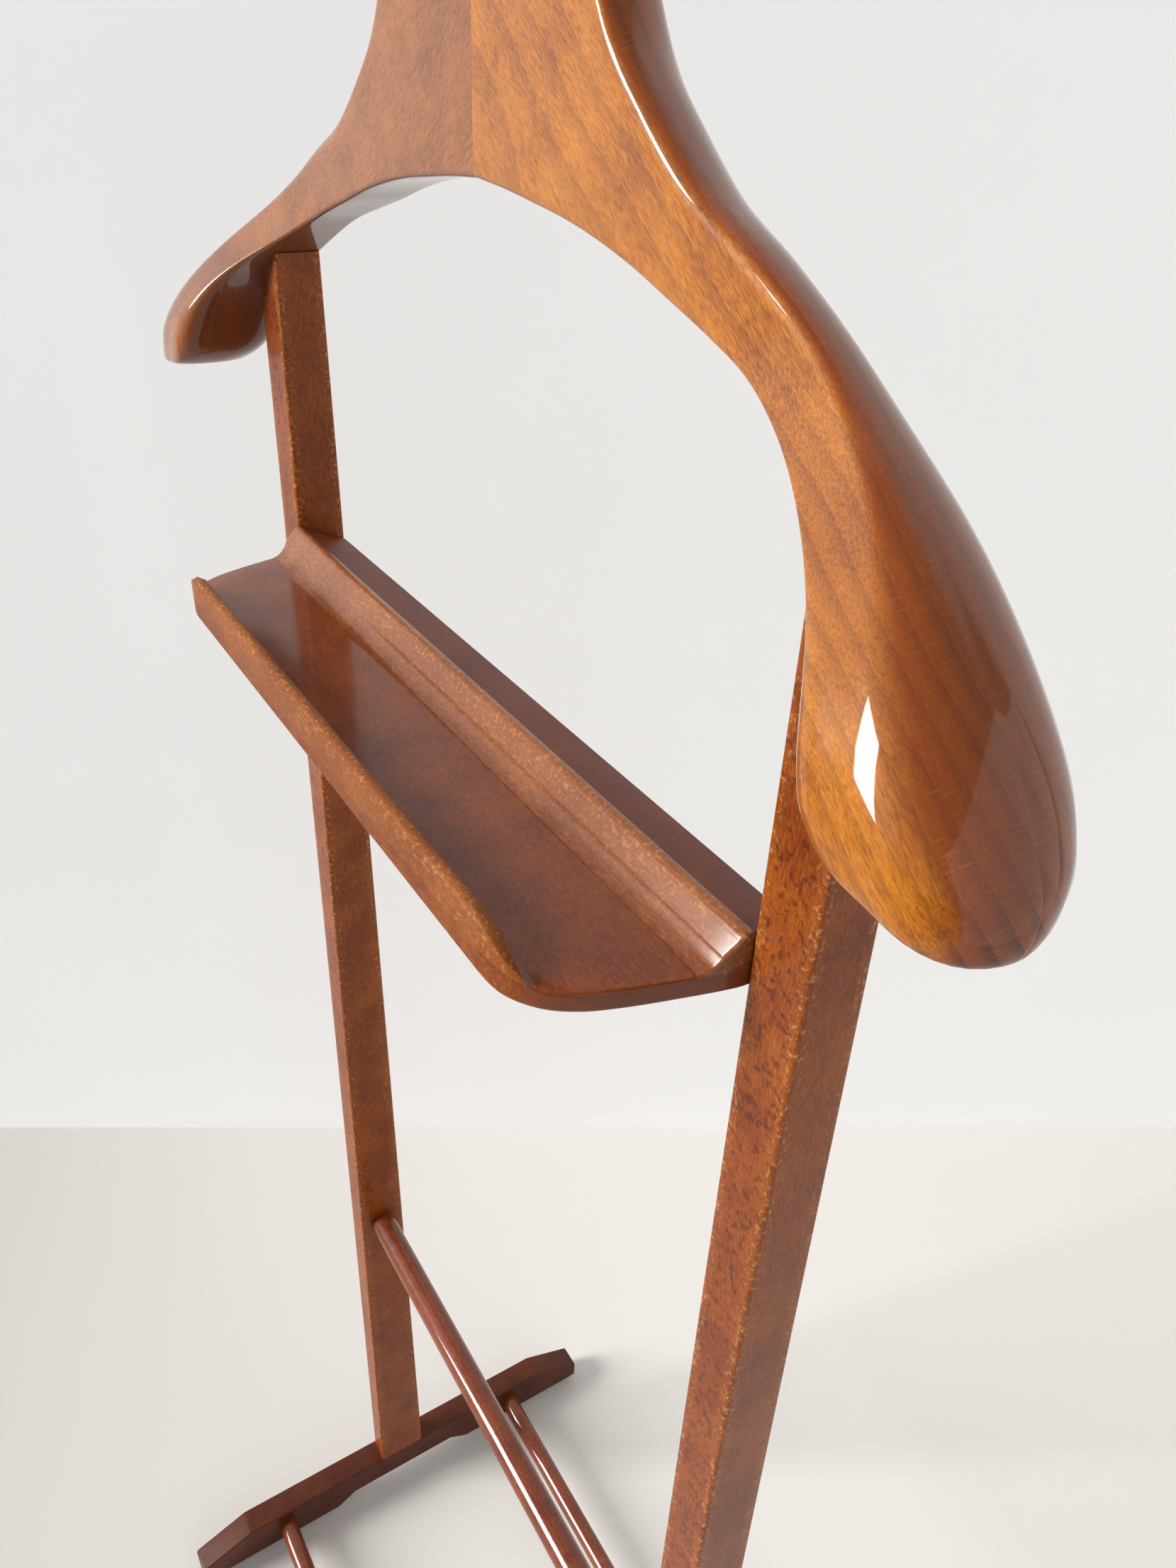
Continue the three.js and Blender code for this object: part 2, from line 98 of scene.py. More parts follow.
camera_data = bpy.data.cameras.new("camera")
camera = bpy.data.objects.new("camera", camera_data)
bpy.context.scene.collection.objects.link(camera)
camera.location = CAMERA_AT
turn = CAMERA_LOOK.to_track_quat("-Z", "Y")
camera.rotation_euler = (turn.to_matrix() @ Euler((0, 0, CAMERA_ROLL)).to_matrix()).to_euler()
camera_data.sensor_fit = "HORIZONTAL"
camera_data.sensor_width = SENSOR_MM
camera_data.lens = LENS_MM
camera_data.clip_start = 0.02
bpy.context.scene.camera = camera
print("lens", round(camera_data.lens, 1), "mm")

# %% [markdown]
# ## Stained, lacquered beech
# Beech has fine even grain: short dark flecks where the rays are cut across, hair-fine fibres
# along the grain, and growth rings that show where the cut comes near end grain. The stain soaks
# in unevenly, and gloss lacquer lies over it as a clear coat. The wood is coloured as a solid
# block, so a carved shape cuts through rings and flecks just as a real one does.

# %% What the stain shows in the wood
def sawn_block(tree, turn):
    """Coordinates of a block whose grain runs along X, turned in degrees, a little wandering."""
    where = add_node(tree, "ShaderNodeTexCoord").outputs["Object"]
    settings = {"vector_type": "TEXTURE", "Rotation": [math.radians(v) for v in turn]}
    block = add_node(tree, "ShaderNodeMapping", settings, {"Vector": where}).outputs[0]
    wander = add_node(tree, "ShaderNodeTexNoise", {"Scale": 9.0, "Detail": 2.0}, {"Vector": block})
    settings = {"operation": "MULTIPLY_ADD", 1: (0.01, 0.012, 0.012), 2: (-0.005, -0.006, -0.006)}
    shift = add_node(tree, "ShaderNodeVectorMath", settings, {0: wander.outputs["Color"]})
    links = {0: block, 1: shift.outputs[0]}
    return add_node(tree, "ShaderNodeVectorMath", {"operation": "ADD"}, links).outputs[0]


def both(tree, mask, other):
    """The product of two masks."""
    links = {0: mask, 1: other}
    return add_node(tree, "ShaderNodeMath", {"operation": "MULTIPLY"}, links).outputs[0]


def growth_rings(tree, grain, pith, spacing):
    """1 at the late wood of each ring, 0 between: `pith` and `spacing` are in metres."""
    settings = {"operation": "MULTIPLY_ADD", 1: (0.03, 1, 1), 2: (0, -pith[0], -pith[1])}
    spoke = add_node(tree, "ShaderNodeVectorMath", settings, {0: grain})
    radius = add_node(tree, "ShaderNodeVectorMath", {"operation": "LENGTH"}, {0: spoke.outputs[0]})
    uneven = add_node(tree, "ShaderNodeTexNoise", {"Scale": 20.0, "Detail": 3.0}, {"Vector": grain})
    count = add_node(
        tree,
        "ShaderNodeMath",
        {"operation": "MULTIPLY_ADD", 1: 1 / spacing},
        {0: radius.outputs["Value"], 2: uneven.outputs["Fac"]},
    )
    year = add_node(tree, "ShaderNodeMath", {"operation": "FRACT"}, {0: count.outputs[0]})
    late = {"interpolation_type": "SMOOTHSTEP", "From Min": 0.4, "From Max": 0.95}
    return add_node(tree, "ShaderNodeMapRange", late, {"Value": year.outputs[0]}).outputs[0]


def short_marks(tree, grain, long, wide, share):
    """Marks that lie along (or across) the grain, `long` by `wide` metres, on a share of cells."""
    stretch = {"Scale": (1 / long, 1 / wide[0], 1 / wide[1])}
    cells = add_node(tree, "ShaderNodeMapping", stretch, {"Vector": grain})
    voronoi = add_node(tree, "ShaderNodeTexVoronoi", {"Scale": 1.0}, {"Vector": cells.outputs[0]})
    body = {"From Min": 0.15, "From Max": 0.42, "To Min": 1.0, "To Max": 0.0}
    body = add_node(tree, "ShaderNodeMapRange", body, {"Value": voronoi.outputs["Distance"]})
    split = add_node(tree, "ShaderNodeSeparateColor", {}, {"Color": voronoi.outputs["Color"]})
    chosen = {"From Min": 1 - share, "From Max": 1.15 - share / 2}
    chosen = add_node(tree, "ShaderNodeMapRange", chosen, {"Value": split.outputs["Red"]})
    return both(tree, body.outputs[0], chosen.outputs[0])


def cloudy(tree, grain, scale, low, high, detail=3.0):
    """Soft patches, 0 to 1, from a noise cut between `low` and `high`."""
    noise = {"Scale": scale, "Detail": detail}
    noise = add_node(tree, "ShaderNodeTexNoise", noise, {"Vector": grain})
    cut = {"From Min": low, "From Max": high}
    return add_node(tree, "ShaderNodeMapRange", cut, {"Value": noise.outputs["Fac"]}).outputs[0]


def facing_front(tree):
    """1 where the surface looks straight to the front or back, 0 where it looks sideways."""
    normal = add_node(tree, "ShaderNodeTexCoord").outputs["Normal"]
    split = add_node(tree, "ShaderNodeSeparateXYZ", {}, {0: normal})
    links = {0: split.outputs["Y"]}
    return add_node(tree, "ShaderNodeMath", {"operation": "ABSOLUTE"}, links).outputs[0]


def turned_away(tree):
    """1 where the surface has been carved round to look sideways, 0 on the flat front."""
    round_off = {"interpolation_type": "SMOOTHSTEP", "From Min": 0.99, "From Max": 0.55}
    links = {"Value": facing_front(tree)}
    return add_node(tree, "ShaderNodeMapRange", round_off, links).outputs[0]


def end_grain(tree, turn):
    """1 where the surface cuts square across the grain, 0 where it runs along it."""
    axis = Euler([math.radians(v) for v in turn]).to_matrix() @ Vector((1, 0, 0))
    normal = add_node(tree, "ShaderNodeTexCoord").outputs["Normal"]
    dot = add_node(tree, "ShaderNodeVectorMath", {"operation": "DOT_PRODUCT", 1: axis}, {0: normal})
    links = {0: dot.outputs["Value"]}
    across = add_node(tree, "ShaderNodeMath", {"operation": "ABSOLUTE"}, links)
    cut = {"interpolation_type": "SMOOTHSTEP", "From Min": 0.3, "From Max": 0.9}
    return add_node(tree, "ShaderNodeMapRange", cut, {"Value": across.outputs[0]}).outputs[0]


def lay_over(tree, colour, mask, amount, over):
    """Lays the colour `over` on `colour` where the mask is, by `amount` at most."""
    part = add_node(tree, "ShaderNodeMath", {"operation": "MULTIPLY", 1: amount}, {0: mask})
    settings = {"data_type": "RGBA", 7: linear(over)}
    mix = add_node(tree, "ShaderNodeMix", settings, {0: part.outputs[0], 6: colour})
    return mix.outputs[2]


# %% [markdown]
# The marks are laid over the stain one after the other, each by its own depth, and the pores and
# the lacquer's slight orange peel are left to bump nodes.

# %% The lacquered beech itself
FIBRE = (3.6, 0.45, 0.45)  # mm, a bundle of fibres: along the grain and across it
FLECK_LONG, FLECK_WIDE = 2.4, 0.4  # mm
SIDEWAYS_SHADE_DEPTH = 0.85  # how far the painted shade goes: a darker, redder colour on faces turned sideways
RING_FAINT = 0.25  # how much of a ring still shows where the cut runs along the grain
RAY_THIN, RAY_TALL, RAY_DEEP = 0.7, 13, 5  # mm, the cell that holds one pale ray line
SQUARE_CUT_DARK = 0.45  # end grain drinks more stain
RAMP_STOPS = (0.38, 0.61, 0.86)  # where the dark, middle and light stain stand
BARE_WOOD = "d49a5c"


def lacquered_beech(
    name,
    stain,
    turn,
    pith,
    ring_depth=0.3,
    ring_spacing=5.0,
    fleck_depth=0.5,
    blotch_depth=0.0,
    ray_depth=0.0,
    carved=None,
    rubbed=(0.0, 0.0),
    coat=1.0,
    gloss=0.06,
):
    """Beech stained from dark to light, with depths saying how far each mark shows."""
    dark, mid, light, spot = stain
    material, tree = new_material(name)
    grain = sawn_block(tree, turn)
    stretch = {"Scale": [1000 / size for size in FIBRE]}
    bundles = add_node(tree, "ShaderNodeMapping", stretch, {"Vector": grain})
    fibre = {"Scale": 1.0, "Detail": 4.0, "Roughness": 0.6}
    fibre = add_node(tree, "ShaderNodeTexNoise", fibre, {"Vector": bundles.outputs[0]})
    soaked = cloudy(tree, grain, 40.0, 0.3, 0.7)
    tone = add_node(
        tree,
        "ShaderNodeMath",
        {"operation": "MULTIPLY_ADD", 1: 0.22},
        {0: soaked, 2: fibre.outputs["Fac"]},
    )
    ramp = add_node(tree, "ShaderNodeValToRGB", {}, {"Fac": tone.outputs[0]})
    stops = ramp.color_ramp.elements
    stops[0].position, stops[0].color = RAMP_STOPS[0], linear(dark)
    stops[1].position, stops[1].color = RAMP_STOPS[2], linear(light)
    stops.new(RAMP_STOPS[1]).color = linear(mid)
    colour = ramp.outputs["Color"]

    # Painted shade: faces carved round to look sideways get a darker, redder colour, where the front
    # light reaches them less.
    if carved:
        colour = lay_over(tree, colour, turned_away(tree), SIDEWAYS_SHADE_DEPTH, carved)
    rings = growth_rings(tree, grain, pith, ring_spacing * MM)
    square_cut = end_grain(tree, turn)
    colour = lay_over(tree, colour, square_cut, SQUARE_CUT_DARK, dark)
    shown = {"operation": "MULTIPLY_ADD", 1: 1 - RING_FAINT, 2: RING_FAINT}
    shown = add_node(tree, "ShaderNodeMath", shown, {0: square_cut})
    colour = lay_over(tree, colour, both(tree, rings, shown.outputs[0]), ring_depth, spot)
    flecks = short_marks(tree, grain, FLECK_LONG * MM, (FLECK_WIDE * MM, FLECK_WIDE * MM), 0.75)
    colour = lay_over(tree, colour, flecks, fleck_depth, spot)
    if blotch_depth:
        blotches = both(tree, cloudy(tree, grain, 340.0, 0.55, 0.63), facing_front(tree))
        colour = lay_over(tree, colour, blotches, blotch_depth, spot)
    if ray_depth:
        rays = short_marks(tree, grain, RAY_THIN * MM, (RAY_DEEP * MM, RAY_TALL * MM), 0.6)
        rays = both(tree, rays, cloudy(tree, grain, 30.0, 0.45, 0.6))
        colour = lay_over(tree, colour, rays, ray_depth, light)
    if rubbed[0]:
        edge = add_node(tree, "ShaderNodeAttribute", {"attribute_name": "worn"}).outputs["Fac"]
        colour = lay_over(tree, colour, edge, rubbed[0], light)
        crumbs = both(tree, edge, cloudy(tree, grain, 650.0, 0.55, 0.68, 2.0))
        colour = lay_over(tree, colour, crumbs, rubbed[1], BARE_WOOD)

    pores = {"Strength": 0.1, "Distance": 0.0003}
    pores = add_node(tree, "ShaderNodeBump", pores, {"Height": fibre.outputs["Fac"]})
    flow = add_node(tree, "ShaderNodeTexNoise", {"Scale": 170.0, "Detail": 2.0}, {"Vector": grain})
    orange_peel = {"Strength": 0.04, "Distance": 0.0004}
    orange_peel = add_node(tree, "ShaderNodeBump", orange_peel, {"Height": flow.outputs["Fac"]})
    shader = add_node(
        tree,
        "ShaderNodeBsdfPrincipled",
        {
            "Roughness": 0.5,
            "IOR": 1.5,
            "Specular IOR Level": 0.15,
            "Coat Weight": coat,
            "Coat Roughness": gloss,
            "Coat IOR": 1.45,
        },
        {
            "Base Color": colour,
            "Normal": pores.outputs["Normal"],
            "Coat Normal": orange_peel.outputs["Normal"],
        },
    )
    add_node(tree, "ShaderNodeOutputMaterial", {}, {"Surface": shader.outputs[0]})
    return material


# %% [markdown]
# ## The finishes of this stand
# Each half of the hanger was cut from its own board, so one is browner and the other golden.
# The uprights are satin with dark blotches and rubbed arrises. The tray, bar and feet are redder.

# %% Make the finishes
ALONG_X, ALONG_Y, ALONG_Z = (0, 0, 0), (0, 0, 90), (0, 90, 0)
ARM_SLOPE = 37  # degrees, how far the grain of each half runs down towards its shoulder
TRAY_PITH = (-0.11, 0.7)
brown_half = lacquered_beech(
    "beech_pinkish_brown",
    ("643414", "8e5022", "a66832", "56280e"),
    (0, -ARM_SLOPE, 0),
    (-0.113, 0.9),
    fleck_depth=0.3,
    # the colour painted as shade on the faces carved round to look sideways
    carved="642c14",
)
gold_half = lacquered_beech(
    "beech_golden_brown",
    ("82400a", "ac6414", "c67c1c", "42140a"),
    (0, ARM_SLOPE, 0),
    (-0.113, 0.797),
    ring_depth=0.9,
    fleck_depth=0.3,
    ray_depth=0.18,
    # the colour painted as shade on the faces carved round to look sideways
    carved="78320a",
)
upright_beech = lacquered_beech(
    "beech_upright",
    ("5e2407", "823c0c", "9c5416", "3e1204"),
    ALONG_Z,
    (-0.11, 0.05),
    fleck_depth=0.4,
    blotch_depth=0.6,
    rubbed=(0.2, 0.5),
    coat=0.3,
    gloss=0.2,
)
tray_beech = lacquered_beech(
    "beech_tray",
    ("5a2206", "7c380e", "904818", "461604"),
    ALONG_X,
    TRAY_PITH,
    ring_depth=0.15,
    fleck_depth=0.35,
    coat=0.75,
    gloss=0.12,
)
rubbed_stain = ("5e2a0e", "7c3e16", "9c5c26", "4a1c08")
tray_lip_beech = lacquered_beech(
    "beech_tray_lip",
    rubbed_stain,
    ALONG_X,
    TRAY_PITH,
    ring_depth=0.15,
    fleck_depth=0.4,
    rubbed=(0.3, 0.4),
    coat=0.06,
    gloss=0.3,
)
tray_cove_beech = lacquered_beech(
    "beech_tray_cove",
    rubbed_stain,
    ALONG_X,
    TRAY_PITH,
    ring_depth=0.15,
    fleck_depth=0.45,
    rubbed=(0.3, 0.3),
    gloss=0.16,
)
tray_back_beech = lacquered_beech(
    "beech_tray_back",
    ("562008", "6e2e10", "7e3a18", "401406"),
    ALONG_X,
    TRAY_PITH,
    ring_depth=0.15,
    fleck_depth=0.3,
    coat=0.05,
    gloss=0.3,
)
bar_beech = lacquered_beech(
    "beech_bar", ("521e08", "783414", "8c4420", "431204"), ALONG_X, (-0.11, 0.3), coat=0.9
)
rail_beech = lacquered_beech(
    "beech_rail",
    ("3a160a", "542410", "66321a", "2e0f06"),
    ALONG_Y,
    (-0.1, 0.1),
    coat=0.25,
    gloss=0.2,
)
print("wood finishes:", len(bpy.data.materials))

# %% [markdown]
# ## Meshes from rings
# Every turned, tapered or carved piece here is a stack of closed outlines joined by quads, with
# a flat cap on each end. The same function makes them all.

# %% Skin a stack of outlines
def mesh_piece(name, vertices, faces, material, replaces, sharp=35):
    """Makes the object, shades it smooth except at sharp edges, and tells the frame about it."""
    mesh = bpy.data.meshes.new(name)
    mesh.from_pydata([tuple(v) for v in vertices], [], faces)
    mesh.validate()
    work = bmesh.new()
    work.from_mesh(mesh)
    bmesh.ops.recalc_face_normals(work, faces=work.faces)
    work.to_mesh(mesh)
    work.free()
    for polygon in mesh.polygons:
        polygon.use_smooth = True
    mesh.set_sharp_from_angle(angle=math.radians(sharp))
    piece = bpy.data.objects.new(name, mesh)
    bpy.context.scene.collection.objects.link(piece)
    mesh.materials.append(material)
    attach(piece, "root")
    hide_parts(*replaces)
    return piece


def skin(rings):
    """Vertices and faces of a closed skin over rings of equal count."""
    rings = np.asarray(rings, float)
    count = rings.shape[1]
    vertices = rings.reshape(-1, 3)
    faces = []
    for r in range(len(rings) - 1):
        for i in range(count):
            a = r * count + i
            b = r * count + (i + 1) % count
            faces.append((a, b, b + count, a + count))
    faces.append(tuple(range(count - 1, -1, -1)))
    last = (len(rings) - 1) * count
    faces.append(tuple(range(last, last + count)))
    return vertices, faces


def set_worn(piece, amounts):
    """Stores how rubbed each vertex is, 0 to 1, for the material to read."""
    attribute = piece.data.attributes.new("worn", "FLOAT", "POINT")
    attribute.data.foreach_set("value", np.asarray(amounts, np.float32))


# %% [markdown]
# ## The hanger
# Each half was bandsawn from a board and carved. It is drawn as stations from the seam out to
# the shoulder's tip: a lower edge, an upper edge, a front and a back. Near the seam the section
# is a flat board with a crisp arch edge and a bull-nosed top. Out at the shoulder it swells
# forward and turns round, like the end of a paddle.

# %% Hanger stations
HANGER_STATIONS = [
    # lower x, z, upper x, z, front y, back y (mm)
    (0, 998, 0, 1095, -3.7, 20.5),
    (17, 996.8, 30, 1091, -3.7, 20.5),
    (34, 995, 52, 1077, -3.7, 20.5),
    (51, 993, 62, 1053, -3.7, 20.5),
    (68, 990, 72, 1036, -3.7, 20.5),
    (85, 986, 87, 1022, -3.8, 20.5),
    (102, 981, 108, 1007, -4, 20),
    (119, 976, 132, 996, -4.4, 18),
    (137, 970, 157.5, 983, -5.5, 14.5),
    (155, 962, 178, 971.5, -10, 12.7),
    (174.5, 952.5, 203, 957.5, -20, 11.4),
    (190, 940.5, 223.5, 942.5, -31.5, 7.4),
    (197.5, 929.5, 237, 930.5, -40, 4.4),
    (202.5, 917.5, 248, 918.5, -44, 3),
    (207, 908.5, 254.5, 907.5, -44.5, -3),
    (214, 903, 254, 897.5, -43, -11),
    (225, 901.5, 240, 899.5, -32, -20),
]


def centripetal(points, steps):
    """Points along a centripetal Catmull-Rom curve, `steps` to each span."""
    p = np.asarray(points, float)
    p = np.vstack([2 * p[0] - p[1], p, 2 * p[-1] - p[-2]])
    out = []
    for i in range(1, len(p) - 2):
        knots = [0.0]
        for a, b in ((i - 1, i), (i, i + 1), (i + 1, i + 2)):
            knots.append(knots[-1] + max(np.linalg.norm(p[b] - p[a]), 1e-9) ** 0.5)
        k0, k1, k2, k3 = knots
        last = 1 if i == len(p) - 3 else 0
        for s in range(steps + last):
            k = k1 + (k2 - k1) * s / steps
            a1 = (k1 - k) / (k1 - k0) * p[i - 1] + (k - k0) / (k1 - k0) * p[i]
            a2 = (k2 - k) / (k2 - k1) * p[i] + (k - k1) / (k2 - k1) * p[i + 1]
            a3 = (k3 - k) / (k3 - k2) * p[i + 1] + (k - k2) / (k3 - k2) * p[i + 2]
            b1 = (k2 - k) / (k2 - k0) * a1 + (k - k0) / (k2 - k0) * a2
            b2 = (k3 - k) / (k3 - k1) * a2 + (k - k1) / (k3 - k1) * a3
            out.append((k2 - k) / (k2 - k1) * b1 + (k - k1) / (k2 - k1) * b2)
    return np.array(out)


def rounded_section(half_w, half_h, radii, steps=9, flats=5):
    """Rounded rectangle. The radii are for the corners (+, +), (+, -), (-, -) and (-, +)."""
    signs = [(1, 1, 90), (1, -1, 0), (-1, -1, -90), (-1, 1, -180)]
    arcs = []
    for (su, sv, first), r in zip(signs, radii):
        angles = np.radians(first - 90 * np.arange(steps) / (steps - 1))
        arcs.append(
            np.c_[su * (half_w - r) + r * np.cos(angles), sv * (half_h - r) + r * np.sin(angles)]
        )
    points = []
    for i, arc in enumerate(arcs):
        points.extend(arc)
        following = arcs[(i + 1) % 4][0]
        for f in range(1, flats + 1):
            points.append(arc[-1] + (following - arc[-1]) * f / (flats + 1))
    return np.array(points)


def smooth_step(x, low, high):
    """0 below `low`, 1 above `high` and an easy curve between."""
    t = np.clip((x - low) / (high - low), 0, 1)
    return t * t * (3 - 2 * t)


RINGS_PER_SPAN = 10
lower_edge = centripetal([(s[0], s[4], s[1]) for s in HANGER_STATIONS], RINGS_PER_SPAN)
upper_edge = centripetal([(s[2], s[5], s[3]) for s in HANGER_STATIONS], RINGS_PER_SPAN)
lower_edge[0, 0] = upper_edge[0, 0] = 0
print("hanger edges:", len(lower_edge), "points each")

# %% [markdown]
# The corners are nearly square along the arm, but for the back of the top, and they grow round
# at the shoulder. There the facets between corners are sanded away, and the swelling is evened
# out along the arm.

# %% Hanger halves
SHOULDER_FROM, SHOULDER_FULL = 9.5, 12.5  # counted in stations
# Corner radii in mm: upper back, upper front, lower front, lower back.
ARM_RADII = (20, 6, 1.8, 1.8)
SHOULDER_RADII = (25, 20, 11.8, 15.8)
# The largest radius allowed, as a share of the smaller half size.
ARM_SHARES = (1.5, 0.45, 0.45, 0.45)
SHOULDER_SHARE = 0.96
SANDING_PASSES = 30
SAND_OFF, SWELL_BACK = 0.5, -0.52  # each pass takes the bumps off, then gives the bulk back
EVENING_PASSES = 60
# Where the sanding sets in and is full, and where the evening runs, all counted in stations.
SANDED_FROM, SANDED_FULL, TIP_KEPT = 8.5, 11, 0.4
EVENED_FROM, EVENED_TO, EVENED_EASE = 7.5, 13.5, 1.5


def between(start, stop, share):
    """The value a share of the way from start to stop."""
    return start + (stop - start) * share


def hanger_radii(half_w, half_d, shoulder):
    """The four corner radii where the arm has turned into shoulder by `shoulder`, 0 to 1."""
    smaller = min(half_w, half_d)
    radii = []
    for arm, full, arm_share in zip(ARM_RADII, SHOULDER_RADII, ARM_SHARES):
        most = between(arm_share, SHOULDER_SHARE, shoulder) * smaller
        radii.append(min(between(arm, full, shoulder), most))
    return radii


def hanger_rings(side):
    """The outlines of one half, from the seam to the shoulder's tip."""
    rings = []
    for r, (a, b) in enumerate(zip(lower_edge, upper_edge)):
        half_w = math.hypot(b[0] - a[0], b[2] - a[2]) / 2
        half_d = (b[1] - a[1]) / 2
        shoulder = smooth_step(r / RINGS_PER_SPAN, SHOULDER_FROM, SHOULDER_FULL)
        section = rounded_section(half_w, half_d, hanger_radii(half_w, half_d, shoulder))
        du, dz = (b[0] - a[0]) / (2 * half_w), (b[2] - a[2]) / (2 * half_w)
        x = (a[0] + b[0]) / 2 + section[:, 0] * du
        y = (a[1] + b[1]) / 2 + section[:, 1]
        z = (a[2] + b[2]) / 2 + section[:, 0] * dz
        rings.append(np.c_[side * x, y, z] * MM)
    return rings


def neighbours(grid, axis):
    """The middle of each point's two neighbours, along the arm (0) or around it (1)."""
    return (np.roll(grid, 1, axis=axis) + np.roll(grid, -1, axis=axis)) / 2


def sanded(rings):
    """Rings with the shoulder sanded smooth, while the seam, the arm and the tip keep their place."""
    grid = np.array(rings)
    place = np.arange(len(grid)) / RINGS_PER_SPAN
    share = smooth_step(place, SANDED_FROM, SANDED_FULL)
    share *= smooth_step(place[-1] - place, 0, TIP_KEPT)
    for step in (SAND_OFF, SWELL_BACK) * SANDING_PASSES:
        middle = (neighbours(grid, 1) + neighbours(grid, 0)) / 2
        grid += step * share[:, None, None] * (middle - grid)
    return grid


def evened(grid):
    """The grid with its run along the arm evened out where the arm swells into the shoulder."""
    place = np.arange(len(grid)) / RINGS_PER_SPAN
    share = smooth_step(place, EVENED_FROM, EVENED_FROM + EVENED_EASE)
    share *= smooth_step(EVENED_TO - place, 0, EVENED_EASE)
    for _ in range(EVENING_PASSES):
        grid = grid + SAND_OFF * share[:, None, None] * (neighbours(grid, 0) - grid)
    return grid


for name, side, material, slot in (
    ("left", -1, brown_half, "hanger_brown"),
    ("right", 1, gold_half, "hanger_gold"),
):
    vertices, faces = skin(evened(sanded(hanger_rings(side))))
    piece = mesh_piece(f"carved_hanger_{name}", vertices, faces, material, [f"hanger_{name}"])
    print(piece.name, len(piece.data.vertices), "vertices")

# %% [markdown]
# ## Uprights
# Each upright is a plain stick, planed to a taper: wider across at the top, deeper front to back
# at the foot. Its arrises are eased with sandpaper, and that is where the stain has rubbed thin.

# %% Uprights
INNER_HALF = 170.0
RAIL_TOP = 37.5
UPRIGHT_TOP = 954.0
UPRIGHT_WIDTHS = (17.2, 22.8)  # at the foot and at the top
UPRIGHT_DEPTHS = (35.0, 20.0)
UPRIGHT_ROUND = 1.6
WORN_REACH = 1.7  # how far the rubbing comes in from each arris
for name, side in (("left", -1), ("right", 1)):
    rings, worn = [], []
    for t in np.linspace(0, 1, 60):
        width = between(*UPRIGHT_WIDTHS, t)
        depth = between(*UPRIGHT_DEPTHS, t)
        section = rounded_section(width / 2, depth / 2, [UPRIGHT_ROUND] * 4, 7, 4)
        z = RAIL_TOP + (UPRIGHT_TOP - RAIL_TOP) * t
        x = side * (INNER_HALF + width / 2 + section[:, 0])
        rings.append(np.c_[x, section[:, 1], np.full(len(section), z)] * MM)
        inset = (width / 2, depth / 2) - abs(section)
        worn.extend((inset < WORN_REACH).all(axis=1))
    vertices, faces = skin(rings)
    replaced = [f"upright_{name}"]
    name = f"tapered_upright_{name}"
    piece = mesh_piece(name, vertices, faces, upright_beech, replaced)
    set_worn(piece, worn)
    print(piece.name, "top width", UPRIGHT_WIDTHS[1], "mm")

# %% [markdown]
# ## Tray
# The tray was run through a moulder, so its section is the same all along: a thin front lip, a
# flat floor, a cove at the back that rises to a rounded crest, and a strip sloping away behind.
# The plan was then sawn with swept front corners. It is drawn as upright outlines from front to
# back: each is as wide as the plan and as high as the section there, with eased corners.

# %% Tray section and plan
TRAY_BOTTOM, TRAY_FRONT, TRAY_BACK = 818.5, -72.0, 11.0
TRAY_FLOOR, TRAY_LIP, TRAY_CREST = 6.8, 19.5, 18.7
FRONT_ROLL, BACK_ROLL, SAWN_EASE = 2.2, 1.5, 1.4
LIP_FULL_HALF, LIP_GONE_HALF, LIP_END_DROP = 126, 153, 0.92  # the lip is sanded down at its ends
LIP_RADIUS, COVE_RADIUS, CREST_RADIUS, ARRIS = 2.6, 9, 3.4, 1.5
LIP_BACK = 9  # the lip and its fillet end this far behind the front
COVE_Y, CREST_Y, BACK_HEIGHT = -27, -11.6, 8
TRAY_CORNER = [
    # half width, distance behind the front
    (119, 0),
    (131, 0.3),
    (142, 2.6),
    (151, 8.5),
    (157, 17),
    (161, 27),
    (165.5, 42),
    (169.6, 58),
    (170, 61.5),
]


def arc_points(cy, cz, radius, start, stop, steps):
    """Points on an arc about (cy, cz), with its angles in degrees."""
    angles = np.radians(np.linspace(start, stop, steps + 1))
    return np.c_[cy + radius * np.cos(angles), cz + radius * np.sin(angles)]


tray_top = np.vstack(
    [
        arc_points(TRAY_FRONT + LIP_RADIUS, TRAY_LIP - LIP_RADIUS, LIP_RADIUS, 180, 20, 24),
        arc_points(TRAY_FRONT + 2 * LIP_RADIUS + 3, TRAY_FLOOR + LIP_RADIUS, LIP_RADIUS, 190, 270, 12),
        arc_points(COVE_Y, TRAY_FLOOR + COVE_RADIUS, COVE_RADIUS, 270, 340, 16),
        arc_points(CREST_Y, TRAY_CREST - CREST_RADIUS, CREST_RADIUS, 160, 68, 16),
        arc_points(TRAY_BACK - ARRIS, BACK_HEIGHT, ARRIS, 68, 0, 6),
    ]
)
corner = [(half, TRAY_FRONT + behind) for half, behind in TRAY_CORNER]
tray_plan = centripetal([*corner, (INNER_HALF, TRAY_BACK)], 12)
print("tray section has", len(tray_top), "points")

# %% [markdown]
# The rub marks lie on top of the lip and on the crest. The lip and the cove each have their
# own finish, because they were polished and worn differently. The strip behind the crest has
# a darker stain under almost no lacquer.

# %% Tray mesh
def tray_underside(y):
    """Height of the underside above the tray's bottom, rolled up at the front and back edges."""
    front = max(FRONT_ROLL - (y - TRAY_FRONT), 0)
    back = max(BACK_ROLL - (TRAY_BACK - y), 0)
    roll_front = FRONT_ROLL - math.sqrt(FRONT_ROLL**2 - front**2)
    roll_back = BACK_ROLL - math.sqrt(BACK_ROLL**2 - back**2)
    return roll_front + roll_back


def rub(y, middle, spread):
    """A soft band of rubbing, 1 at its middle."""
    return math.exp(-(((y - middle) / spread) ** 2))


